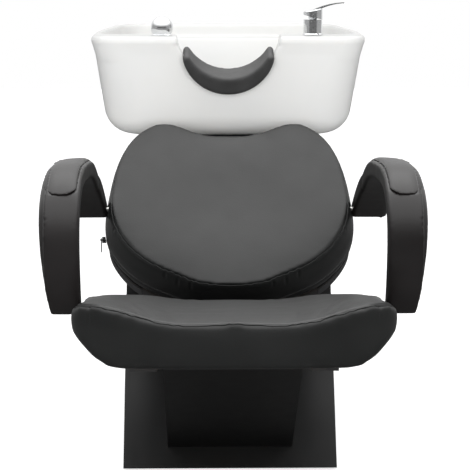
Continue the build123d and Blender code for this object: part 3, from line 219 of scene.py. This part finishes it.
def sharp_corner(node, turn):
    """Places on the CAD pad where its face turns sharply down into its sides."""
    obj = copy_of(node, "Corner")
    bm = bmesh.new()
    bm.from_mesh(obj.data)
    out = Vector((0, -math.sin(turn), math.cos(turn)))
    found = set()
    for edge in bm.edges:
        if len(edge.link_faces) == 2:
            lean = sorted(face.normal.dot(out) for face in edge.link_faces)
            if lean[0] < SIDE_LEAN and lean[1] > FACE_LEAN:
                found.update(tuple(vert.co) for vert in edge.verts)
    bm.free()
    bpy.data.objects.remove(obj)
    return turned_in(np.array(sorted(found)), turn)


def level_corner(node, turn, below):
    """Places on the CAD pad that lie BELOW metres under its highest point, measured out of the pad."""
    obj = copy_of(node, "Corner")
    seen = turned_in(coordinates(obj), turn)
    bpy.data.objects.remove(obj)
    return seen[np.abs(seen[:, 2] - (seen[:, 2].max() - below)) < LEVEL_SLACK]


def seam_loop(seen, turn, count=240):
    """Even closed line through the places SEEN in a pad's frame, back in the scene's frame."""
    middle = (seen.min(0) + seen.max(0)) / 2
    flat = seen[:, :2] - middle[:2]
    angle = np.arctan2(flat[:, 1], flat[:, 0])
    order = np.argsort(angle)
    angle, reach, depth = angle[order], np.hypot(flat[:, 0], flat[:, 1])[order], seen[order, 2]
    aims = -math.pi + 2 * math.pi * (np.arange(count) + 0.5) / count
    reach = smoothed(np.interp(aims, angle, reach, period=2 * math.pi))
    depth = smoothed(np.interp(aims, angle, depth, period=2 * math.pi))
    u, v = middle[0] + reach * np.cos(aims), middle[1] + reach * np.sin(aims)
    return turned_in(np.column_stack([u, v, depth]), -turn)


def smoothed(values, rounds=24, window=13):
    """VALUES round a loop without their lone outliers and small steps."""
    half = window // 2
    values = np.median([np.roll(values, shift) for shift in range(-half, half + 1)], axis=0)
    for _ in range(rounds):
        values = 0.5 * values + 0.25 * (np.roll(values, 1) + np.roll(values, -1))
    return values


def reach_of(co, line):
    """How far each place of CO is from the closed LINE."""
    dense = densified(line, REACH_STEP)
    tree = KDTree(len(dense))
    for index, point in enumerate(dense):
        tree.insert(point, index)
    tree.balance()
    return np.array([tree.find(p)[2] for p in co])


def settled(obj, points):
    """POINTS moved onto the nearest place of OBJ's surface."""
    tree = BVHTree.FromObject(obj, bpy.context.evaluated_depsgraph_get())
    return np.array([tree.find_nearest(Vector(p))[0] for p in points])


def grooved(obj, line, width, depth):
    """Sinks a narrow channel into OBJ along LINE."""
    co, out = coordinates(obj), normals(obj)
    reach = reach_of(co, line)
    place(obj, co - out * (depth * np.exp(-((reach / width) ** 2)))[:, None])
    return obj


def densified(line, gap):
    """Closed LINE with more points, about GAP apart."""
    out = []
    for a, b in zip(line, np.roll(line, -1, 0)):
        pieces = max(1, int(np.linalg.norm(b - a) / gap))
        out.extend(a + (b - a) * k / pieces for k in range(pieces))
    return np.array(out)


def tube_along(name, line, radius, sides=8):
    """Round cord following the closed LINE."""
    verts, faces = [], []
    count = len(line)
    up = Vector((0.013, 0.021, 1.0)).normalized()
    for k in range(count):
        along = Vector(line[(k + 1) % count]) - Vector(line[k - 1])
        along.normalize()
        side = along.cross(up)
        if side.length < 0.05:
            side = along.cross(Vector((1, 0, 0)))
        side.normalize()
        rise = side.cross(along)
        for step in range(sides):
            turn = 2 * math.pi * step / sides
            verts.append(Vector(line[k]) + radius * (math.cos(turn) * side + math.sin(turn) * rise))
    for k in range(count):
        after = (k + 1) % count
        for step in range(sides):
            over = (step + 1) % sides
            faces.append((k * sides + step, k * sides + over, after * sides + over, after * sides + step))
    return add_mesh(name, verts, faces)


def creased(obj, start, end, width, depth):
    """Presses a soft fold into OBJ between two points, with a slight swell on both sides of it."""
    co, out = coordinates(obj), normals(obj)
    a, b = np.array(start), np.array(end)
    run = b - a
    part = np.clip(((co - a) @ run) / (run @ run), 0, 1)
    reach = np.linalg.norm(co - (a + part[:, None] * run), axis=1) / width
    fade = np.sin(math.pi * np.clip(part * 0.9 + 0.05, 0, 1))
    shape = (1.0 - 0.9 * reach**2) * np.exp(-(reach**2) / 1.2)
    place(obj, co - out * (depth * fade * shape)[:, None])
    return obj


# ---- materials -----------------------------------------------------------------------------------

class Finish:
    """A node material being put together."""

    def __init__(self, name, colour, roughness, metallic=0.0, coat=0.0):
        self.material = bpy.data.materials.new(name)
        self.material.use_nodes = True
        self.tree = self.material.node_tree
        self.shader = self.tree.nodes["Principled BSDF"]
        self.colour = (*colour, 1.0)
        self.shader.inputs["Base Color"].default_value = self.colour
        self.shader.inputs["Roughness"].default_value = roughness
        self.roughness = roughness
        self.shader.inputs["Metallic"].default_value = metallic
        self.shader.inputs["Coat Weight"].default_value = coat
        self.shader.inputs["Coat Roughness"].default_value = 0.08
        self.place = self.node("ShaderNodeTexCoord").outputs["Object"]
        self.height = None

    def node(self, kind, **values):
        made = self.tree.nodes.new(kind)
        for key, value in values.items():
            setattr(made, key, value)
        return made

    def link(self, out, into):
        self.tree.links.new(out, into)

    def stretched(self, scale):
        mapping = self.node("ShaderNodeMapping")
        mapping.inputs["Scale"].default_value = scale
        self.link(self.place, mapping.inputs["Vector"])
        return mapping.outputs["Vector"]

    def noise(self, scale, detail=4.0, stretch=None):
        made = self.node("ShaderNodeTexNoise")
        made.inputs["Scale"].default_value = scale
        made.inputs["Detail"].default_value = detail
        self.link(self.stretched(stretch) if stretch else self.place, made.inputs["Vector"])
        return made.outputs["Fac"]

    def cells(self, scale, stretch=None):
        made = self.node("ShaderNodeTexVoronoi")
        made.feature = "SMOOTH_F1"
        made.inputs["Scale"].default_value = scale
        self.link(self.stretched(stretch) if stretch else self.place, made.inputs["Vector"])
        return made.outputs["Distance"]

    def ranged(self, value, low, high):
        made = self.node("ShaderNodeMapRange")
        made.inputs["To Min"].default_value = low
        made.inputs["To Max"].default_value = high
        self.link(value, made.inputs["Value"])
        return made.outputs["Result"]

    def tinted(self, value, second, start=0.35, stop=0.65):
        """Base colour drifts to SECOND as VALUE rises from START to STOP."""
        ramp = self.node("ShaderNodeValToRGB")
        ramp.color_ramp.elements[0].position = start
        ramp.color_ramp.elements[0].color = self.colour
        ramp.color_ramp.elements[1].position = stop
        ramp.color_ramp.elements[1].color = (*second, 1.0)
        self.link(value, ramp.inputs["Fac"])
        self.link(ramp.outputs["Color"], self.shader.inputs["Base Color"])
        return self

    def rough(self, value, low, high):
        self.link(self.ranged(value, low, high), self.shader.inputs["Roughness"])
        return self

    def bump(self, value, strength, distance):
        made = self.node("ShaderNodeBump")
        made.inputs["Strength"].default_value = strength
        made.inputs["Distance"].default_value = distance
        self.link(value, made.inputs["Height"])
        if self.height is not None:
            self.link(self.height, made.inputs["Normal"])
        self.height = made.outputs["Normal"]
        self.link(self.height, self.shader.inputs["Normal"])
        return self


def leather(name, colour, second, roughness, grain):
    """Coated upholstery with a pebbled grain, finer pores and soft handling marks."""
    made = Finish(name, colour, roughness)
    made.tinted(made.noise(9.0, 3.0), second)
    made.rough(made.noise(28.0, 5.0), roughness - 0.05, roughness + 0.07)
    made.bump(made.cells(grain), 0.22, 0.0004)
    made.bump(made.noise(grain * 0.35, 6.0), 0.12, 0.0006)
    made.bump(made.noise(14.0, 2.0), 0.10, 0.003)
    made.shader.inputs["Sheen Weight"].default_value = 0.02
    made.shader.inputs["Sheen Roughness"].default_value = 0.4
    return made


def powder_coat(name, colour, roughness):
    made = Finish(name, colour, roughness)
    made.tinted(made.noise(5.0), [c * 1.5 for c in colour])
    made.rough(made.noise(40.0, 5.0), roughness - 0.05, roughness + 0.06)
    made.bump(made.noise(1400.0, 3.0), 0.10, 0.0002)
    made.bump(made.noise(7.0, 1.0), 0.03, 0.004)
    return made


def moulded(name, colour, roughness, grain=900.0, coat=0.0):
    made = Finish(name, colour, roughness, coat=coat)
    made.tinted(made.noise(11.0), [c * 1.35 + 0.002 for c in colour])
    made.rough(made.noise(60.0, 4.0), roughness - 0.05, roughness + 0.06)
    made.bump(made.cells(grain), 0.12, 0.0002)
    return made


def metal(name, colour, roughness, brushed=None, wear=0.04, purity=1.0):
    made = Finish(name, colour, roughness, metallic=purity)
    made.tinted(made.noise(30.0), [c * 0.86 for c in colour])
    made.rough(made.noise(55.0, 6.0), max(roughness - wear, 0.02), roughness + wear)
    if brushed:
        made.bump(made.noise(1.0, 3.0, brushed), 0.08, 0.0003)
    return made


def glaze():
    """White sanitary glaze: a clear glassy coat over a slightly warm, faintly mottled body."""
    made = Finish("basin_glaze", (0.775, 0.778, 0.770), 0.30, coat=0.35)
    made.tinted(made.noise(6.0, 2.0), (0.80, 0.80, 0.785))
    made.bump(made.noise(16.0, 1.0), 0.02, 0.002)
    made.shader.inputs["Subsurface Weight"].default_value = 0.12
    made.shader.inputs["Subsurface Radius"].default_value = (0.012, 0.011, 0.010)
    made.shader.inputs["Subsurface Scale"].default_value = 1.0
    made.shader.inputs["Coat Roughness"].default_value = 0.06
    return made


def plywood():
    made = Finish("board_wood", (0.42, 0.28, 0.15), 0.6)
    made.tinted(made.noise(3.0, 6.0, (12.0, 90.0, 90.0)), (0.55, 0.40, 0.24))
    made.bump(made.noise(3.0, 6.0, (14.0, 160.0, 160.0)), 0.2, 0.0006)
    return made


def braid(name):
    made = metal(name, (0.55, 0.55, 0.54), 0.32)
    made.bump(made.cells(420.0, (1.0, 1.0, 0.6)), 0.6, 0.0008)
    return made


def ribbed(name):
    made = Finish(name, (0.42, 0.43, 0.43), 0.45)
    wave = made.node("ShaderNodeTexWave", bands_direction="Z")
    wave.inputs["Scale"].default_value = 60.0
    made.link(made.place, wave.inputs["Vector"])
    made.tinted(wave.outputs["Fac"], (0.30, 0.31, 0.31))
    made.bump(wave.outputs["Fac"], 0.8, 0.002)
    return made


def textured_rubber(name, colour, roughness, scale):
    made = Finish(name, colour, roughness)
    made.tinted(made.noise(24.0), [c * 1.4 for c in colour])
    made.rough(made.noise(90.0), roughness - 0.06, roughness + 0.06)
    made.bump(made.cells(scale), 0.35, 0.0005)
    return made


FINISHES = {
    "cabinet_steel": lambda: powder_coat("cabinet_steel", (0.0022, 0.0022, 0.0023), 0.36),
    "frame_steel": lambda: powder_coat("frame_steel", (0.016, 0.016, 0.017), 0.5),
    "zinc_fasteners": lambda: metal("zinc_fasteners", (0.62, 0.62, 0.60), 0.35),
    "seat_vinyl": lambda: leather(
        "seat_vinyl", (0.0042, 0.0045, 0.0044), (0.0062, 0.0066, 0.0064), 0.44, 620.0
    ),
    "board_wood": plywood,
    "cover_plastic": lambda: moulded("cover_plastic", (0.016, 0.016, 0.017), 0.5, 500.0),
    "zip_metal": lambda: metal("zip_metal", (0.10, 0.10, 0.10), 0.4),
    "armrest_plastic": lambda: moulded("armrest_plastic", (0.0055, 0.0045, 0.0045), 0.38, 1100.0),
    "armrest_pad": lambda: leather(
        "armrest_pad", (0.008, 0.007, 0.007), (0.011, 0.0095, 0.009), 0.42, 900.0
    ),
    "basin_glaze": glaze,
    "neck_rubber": lambda: textured_rubber("neck_rubber", (0.033, 0.033, 0.033), 0.55, 520.0),
    "chrome": lambda: metal("chrome", (0.88, 0.89, 0.90), 0.07, wear=0.02, purity=0.88),
    "stainless": lambda: metal("stainless", (0.60, 0.60, 0.59), 0.28, (40.0, 40.0, 900.0)),
    "white_plastic": lambda: moulded("white_plastic", (0.70, 0.70, 0.68), 0.4),
    "grey_hose": lambda: ribbed("grey_hose"),
    "braided_hose": lambda: braid("braided_hose"),
    "bush_bronze": lambda: metal("bush_bronze", (0.50, 0.34, 0.16), 0.4),
    "black_rubber": lambda: textured_rubber("black_rubber", (0.015, 0.015, 0.015), 0.7, 700.0),
    "knob_plastic": lambda: moulded("knob_plastic", (0.012, 0.012, 0.012), 0.2, coat=0.5),
}
finishes = {slot: make().material for slot, make in FINISHES.items()}


def dress(obj, slot):
    """Gives a new piece the finish of one of the record's material slots."""
    obj.data.materials.clear()
    obj.data.materials.append(finishes[slot])
    return obj


for subpart in frame["record"]["subparts"]:
    node = nodes[subpart["node"]]
    finish = finishes[subpart["material_slot"]]
    if node.material_slots:
        for holder in node.material_slots:
            holder.link = "OBJECT"
            holder.material = finish
    else:
        node.data.materials.append(finish)


# ---- softened metal edges --------------------------------------------------------------------------

ROUNDED = {
    "front_panel": 0.0012,
    "left_side_panel": 0.0012,
    "right_side_panel": 0.0012,
    "top_panel": 0.0010,
    "rear_access_panel": 0.0010,
    "seat_column_cover": 0.0010,
    "seat_back_bars": 0.0012,
    "armrest_front_brackets": 0.0010,
    "armrest_rear_straps": 0.0010,
    "basin_cradle": 0.0010,
    "tilt_yoke": 0.0010,
}
for name, width in ROUNDED.items():
    bevel = nodes[name].modifiers.new("Edge", "BEVEL")
    bevel.width = width
    bevel.segments = 2
    bevel.limit_method = "ANGLE"
    bevel.angle_limit = math.radians(40)
    bevel.harden_normals = True


# ---- seat and backrest -----------------------------------------------------------------------------

PAD_ROUNDING = 9              # smoothing rounds that take the sharpness off the sewn corners
SEAM_HOLD = 0.007             # the cover is caught by its seams and stays put this close to them
WELT = 0.0011
WELT_STEP = 0.005
BACK_SEAM_BELOW = 0.004       # the backrest's face seam, below the top of its face
BACK_EDGE_BELOW = 0.040       # where the backrest's straight side begins
ZIP_BELOW_EDGE = 0.025


def made_pad(node, name, turn, seams, shrink, pressure, cap, rest_depth):
    """Upholstered pad grown from its CAD solid: shrunk a little, then swollen like a filled cover."""
    pad = remeshed(copy_of(node, name), 0.005)
    relaxed(pad, PAD_ROUNDING, 0)
    co = coordinates(pad)
    depth = turned_in(co, turn)[:, 2]
    resting = depth < depth.min() + rest_depth
    near = np.min([reach_of(co, seam) for seam in seams], axis=0)
    inset = shrink * np.clip(near / 0.03, 0.2, 1.0)
    place(pad, co - normals(pad) * np.where(resting, 0.0, inset)[:, None])
    inflated(pad, pressure, cap, resting | (near < SEAM_HOLD))
    relaxed(pad, 2)
    subdivided(pad)
    for seam in seams:
        grooved(pad, settled(pad, seam), 0.0030, 0.0015)
    return pad


def welt(name, pad, line, slot, radius):
    """Thin cord lying in a seam."""
    cord = tube_along(name, settled(pad, densified(line, WELT_STEP)), radius)
    dress(cord, slot)
    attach(cord, "base")


def pinched(pad, seam, turn, bearing, length):
    """Three short pull folds below a seam at BEARING degrees, where the cover is drawn round a corner."""
    down = turned_in(np.array([[0.0, 0.0, -1.0]]), -turn)[0]
    centre = int(len(seam) * (bearing + 180.0) / 360.0)
    for step, part in ((-5, 0.7), (0, 1.0), (5, 0.8)):
        start = seam[(centre + step) % len(seam)]
        creased(pad, start, start + down * length * part, 0.0030, 0.0016)


seat_seam = seam_loop(sharp_corner("seat_cushion", SEAT_TURN), SEAT_TURN)
seat = made_pad("seat_cushion", "SeatCushion", SEAT_TURN, [seat_seam], 0.0015, 4.0, 0.006, 0.006)
for bearing in (-146.0, -34.0):
    pinched(seat, seat_seam, SEAT_TURN, bearing, 0.035)
dress(seat, "seat_vinyl")
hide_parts("seat_cushion")
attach(seat, "base")
welt("SeatWelt", seat, seat_seam, "seat_vinyl", WELT)

back_seam = seam_loop(level_corner("backrest_cushion", BACK_TURN, BACK_SEAM_BELOW), BACK_TURN)
back_out = np.array([0, -math.sin(BACK_TURN), math.cos(BACK_TURN)])
zip_line = seam_loop(level_corner("backrest_cushion", BACK_TURN, BACK_EDGE_BELOW), BACK_TURN)
zip_line = zip_line - back_out * ZIP_BELOW_EDGE
back = made_pad(
    "backrest_cushion", "BackrestCushion", BACK_TURN, [back_seam, zip_line], 0.0015, 4.0, 0.009, 0.008
)
for bearing in (-172.0, -120.0, -60.0, -8.0):
    pinched(back, back_seam, BACK_TURN, bearing, 0.030)
dress(back, "seat_vinyl")
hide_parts("backrest_cushion")
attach(back, "base")
welt("BackrestWelt", back, back_seam, "seat_vinyl", WELT)
welt("ZipTape", back, zip_line, "zip_metal", WELT)


# ---- armrests ----------------------------------------------------------------------------------------

LEG_END = 0.12                # length of the rear leg that closes up to the padding
LEG_SHIFT = 0.006


def closed_up(arm):
    """Leans the rear leg's end toward the backrest, so that no light shows between them."""
    co = coordinates(arm)
    away = (co[:, 1].max() - co[:, 1]) / LEG_END
    lean = LEG_SHIFT * np.clip(1.0 - away, 0.0, 1.0) ** 0.5
    co[:, 0] -= np.sign(co[:, 0].mean()) * lean
    place(arm, co)


for side in ("left", "right"):
    arm = softened(f"{side}_armrest", f"Armrest_{side}", 0.003, 6)
    closed_up(arm)
    dress(arm, "armrest_plastic")
    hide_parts(f"{side}_armrest")
    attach(arm, "base")
    pad = softened(f"{side}_armrest_pad", f"ArmrestPad_{side}", 0.002, 5)
    dress(pad, "armrest_pad")
    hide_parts(f"{side}_armrest_pad")
    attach(pad, "base")


# ---- basin and neck rest -------------------------------------------------------------------------------

tub = softened("basin", "Basin", 0.003, 8, rounding=4)
dress(tub, "basin_glaze")
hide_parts("basin")
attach(tub, "basin_assembly")

saddle = softened("neck_rest", "NeckRest", 0.002, 6, rounding=9)
dress(saddle, "neck_rubber")
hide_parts("neck_rest")
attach(saddle, "neck_cushion")


# ---- hoses -----------------------------------------------------------------------------------------------

def hose(node, name, slot):
    """Hose copied from its CAD node, shaded smooth and given its finish; the CAD node is hidden."""
    made = copy_of(node, name)
    smooth_shade(made)
    dress(made, slot)
    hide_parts(node)
    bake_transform(made)
    return made


hose("waste_hose", "WasteHose", "grey_hose")
for node, name in (("hot_supply_hose", "HotHose"), ("cold_supply_hose", "ColdHose")):
    hose(node, name, "braided_hose")
hose(
    "shower_hose", "ShowerHose", "braided_hose",
)


# ---- floor, light and camera -----------------------------------------------------------------------

FLOOR_LIFT = 0.62             # glow of the floor for the eye alone, so that it meets the white behind
SKY_LOW_HIGH = (0.02, 2.00)   # surroundings as glossy things mirror them, level and overhead
SIDE_GLOW = 0.30
BACK_GLOW = 0.90              # mirrored surroundings behind the unit
SOFT_LOW_HIGH = (0.42, 0.62)  # surroundings as matt things gather them
OVERHEAD_POWER = 12.0
FILL_POWER = 85.0


def floor():
    size = 8.0
    made = add_mesh(
        "Floor", [(-size, -size, 0), (size, -size, 0), (size, size, 0), (-size, size, 0)], [(0, 1, 2, 3)]
    )
    cover = Finish("floor_paper", (0.86, 0.86, 0.86), 0.7)
    seen = cover.node("ShaderNodeLightPath")
    mirrored = cover.node("ShaderNodeMath", operation="ADD")
    cover.link(seen.outputs["Is Glossy Ray"], mirrored.inputs[0])
    cover.link(cover.ranged(cover.noise(1.5), 0.0, 0.03), mirrored.inputs[1])
    cover.tinted(mirrored.outputs[0], (0.12, 0.12, 0.12), 0.0, 1.0)
    cover.shader.inputs["Emission Color"].default_value = (1, 1, 1, 1)
    glow = cover.ranged(seen.outputs["Is Camera Ray"], 0.0, FLOOR_LIFT)
    cover.link(glow, cover.shader.inputs["Emission Strength"])
    made.data.materials.append(cover.material)


def area_light(name, place_at, aim, size, power):
    light = bpy.data.lights.new(name, "AREA")
    light.shape = "RECTANGLE"
    light.size, light.size_y = size
    light.energy = power
    obj = bpy.data.objects.new(name, light)
    obj.location = place_at
    obj.rotation_euler = (Vector(aim) - Vector(place_at)).to_track_quat("-Z", "Y").to_euler()
    scene.collection.objects.link(obj)
    return obj


def studio():
    """Plain white surroundings for the eye, darker ahead of the unit for everything that mirrors them."""
    world = bpy.data.worlds.new("Studio")
    scene.world = world
    world.use_nodes = True
    tree = world.node_tree

    def made(kind, **values):
        node = tree.nodes.new(kind)
        for key, value in values.items():
            setattr(node, key, value)
        return node

    def ranged(value, start, stop, low, high):
        node = made("ShaderNodeMapRange", interpolation_type="SMOOTHSTEP")
        for key, number in (("From Min", start), ("From Max", stop), ("To Min", low), ("To Max", high)):
            node.inputs[key].default_value = number
        tree.links.new(value, node.inputs["Value"])
        return node.outputs["Result"]

    def joined(kind, first, second):
        node = made("ShaderNodeMath", operation=kind)
        for socket, value in zip(node.inputs, (first, second)):
            if isinstance(value, float):
                socket.default_value = value
            else:
                tree.links.new(value, socket)
        return node.outputs[0]

    direction = made("ShaderNodeSeparateXYZ")
    tree.links.new(made("ShaderNodeTexCoord").outputs["Generated"], direction.inputs["Vector"])
    path = made("ShaderNodeLightPath")
    above = ranged(direction.outputs["Z"], 0.10, 0.80, *SKY_LOW_HIGH)
    sides = ranged(joined("ABSOLUTE", direction.outputs["X"], 0.0), 0.55, 0.9, 0.0, SIDE_GLOW)
    behind = ranged(direction.outputs["Y"], 0.1, 0.8, 0.0, BACK_GLOW)
    mirrored = joined("MAXIMUM", joined("MAXIMUM", above, sides), behind)
    soft = ranged(direction.outputs["Z"], -0.2, 0.8, *SOFT_LOW_HIGH)
    glossy = joined("MULTIPLY", mirrored, path.outputs["Is Glossy Ray"])
    spread = joined("MULTIPLY", soft, joined("SUBTRACT", 1.0, path.outputs["Is Glossy Ray"]))
    not_camera = joined("SUBTRACT", 1.0, path.outputs["Is Camera Ray"])
    unseen = joined("MULTIPLY", joined("ADD", glossy, spread), not_camera)
    total = joined("ADD", unseen, path.outputs["Is Camera Ray"])
    tree.links.new(total, tree.nodes["Background"].inputs["Strength"])
    tree.nodes["Background"].inputs["Color"].default_value = (1, 1, 1, 1)

    area_light("Overhead", (0.0, 0.35, 2.3), (0, 0.0, 0.5), (1.8, 1.4), OVERHEAD_POWER)
    fill = area_light("FrontFill", (0.0, -3.2, 1.05), (0, 0.2, 0.6), (2.6, 1.2), FILL_POWER)
    fill.visible_glossy = False


def camera():
    lens = bpy.data.cameras.new("Camera")
    lens.lens = LENS
    lens.sensor_width = SENSOR
    lens.clip_end = 50
    obj = bpy.data.objects.new("Camera", lens)
    obj.location = EYE
    obj.rotation_euler = Euler((math.radians(90) - LOOK_DOWN, 0, -LOOK_RIGHT))
    scene.collection.objects.link(obj)
    scene.camera = obj


floor()
studio()
camera()
scene.view_settings.view_transform = "Standard"
scene.view_settings.look = "None"
